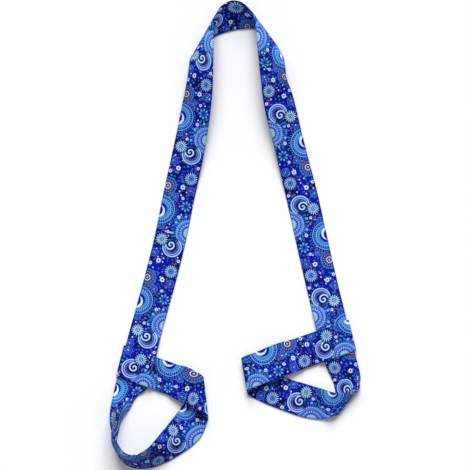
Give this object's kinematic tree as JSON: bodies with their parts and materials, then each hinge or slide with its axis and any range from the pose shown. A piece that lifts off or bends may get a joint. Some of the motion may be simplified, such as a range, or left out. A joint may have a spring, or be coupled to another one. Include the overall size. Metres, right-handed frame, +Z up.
{
  "type": "neck strap",
  "caption": "Flat webbing neck sling with a slip noose at each end, made by running the webbing back through its own sewn eye; patterned blue, laid flat on a table.",
  "frame": {"origin": "on the table, under the middle of the whole strap's bounding box as it lies", "axes": "+Y runs from the nooses towards the neck end, +X to the right seen from above, +Z up from the table"},
  "size_m": [0.2997, 0.5614, 0.0382],
  "materials": {
    "printed_webbing": "tight plain-woven polyester webbing, deep royal blue with a fine printed paisley, daisy and ring pattern in pale blue, turquoise, violet and white, on both faces",
    "seam_thread": "bonded blue sewing thread, slight sheen"
  },
  "bodies": {
    "neck": {"neck_band": "printed_webbing"},
    "left_top_leg": {"left_shoulder_roll": "printed_webbing", "left_leg_upper": "printed_webbing"},
    "left_bottom_leg": {"left_leg_lower": "printed_webbing"},
    "left_noose": {"left_noose_threaded": "printed_webbing", "left_noose_corner": "printed_webbing", "left_noose_lower_band": "printed_webbing", "left_noose_roll": "printed_webbing", "left_noose_upper_band": "printed_webbing"},
    "left_slip_eye": {"left_eye": "printed_webbing", "left_eye_stitches": "seam_thread"},
    "right_top_leg": {"right_shoulder_roll": "printed_webbing", "right_leg_upper": "printed_webbing"},
    "right_bottom_leg": {"right_leg_lower": "printed_webbing"},
    "right_noose": {"right_noose_threaded": "printed_webbing", "right_noose_corner": "printed_webbing", "right_noose_lower_band": "printed_webbing", "right_noose_roll": "printed_webbing", "right_noose_upper_band": "printed_webbing"},
    "right_slip_eye": {"right_eye": "printed_webbing", "right_eye_stitches": "seam_thread"}
  },
  "joints": [
    {"name": "left_shoulder_fold", "type": "hinge", "parent": "neck", "child": "left_top_leg", "pos_m": [-0.0394, 0.233, 0.01075], "axis": [-0.4948, -0.865, -0.0832], "range_deg": [0, 90]},
    {"name": "right_shoulder_fold", "type": "hinge", "parent": "neck", "child": "right_top_leg", "pos_m": [0.0405, 0.2354, 0.0111], "axis": [-0.5561, 0.8265, 0.0876], "range_deg": [0, 90]},
    {"name": "left_leg_fold", "type": "hinge", "parent": "left_top_leg", "child": "left_bottom_leg", "pos_m": [-0.06795, 0.0432, 0.00075], "axis": [-0.981, 0.1942, 0], "range_deg": [0, 120]},
    {"name": "right_leg_fold", "type": "hinge", "parent": "right_top_leg", "child": "right_bottom_leg", "pos_m": [0.08105, 0.0432, 0.00075], "axis": [-0.9744, -0.225, 0], "range_deg": [0, 120]},
    {"name": "left_noose_fold", "type": "hinge", "parent": "left_bottom_leg", "child": "left_noose", "pos_m": [-0.10545, -0.1105, 0.00075], "axis": [-0.9668, 0.2554, 0], "range_deg": [0, 75]},
    {"name": "right_noose_fold", "type": "hinge", "parent": "right_bottom_leg", "child": "right_noose", "pos_m": [0.1084, -0.07765, 0.00075], "axis": [-0.9707, -0.2402, 0], "range_deg": [0, 75]},
    {"name": "left_eye_slide", "type": "slide", "parent": "left_noose", "child": "left_slip_eye", "axis": [0.2554, 0.9668, 0], "range_m": [0, 0.012]},
    {"name": "right_eye_slide", "type": "slide", "parent": "right_noose", "child": "right_slip_eye", "axis": [-0.2402, 0.9707, 0], "range_m": [0, 0.012]}
  ]
}
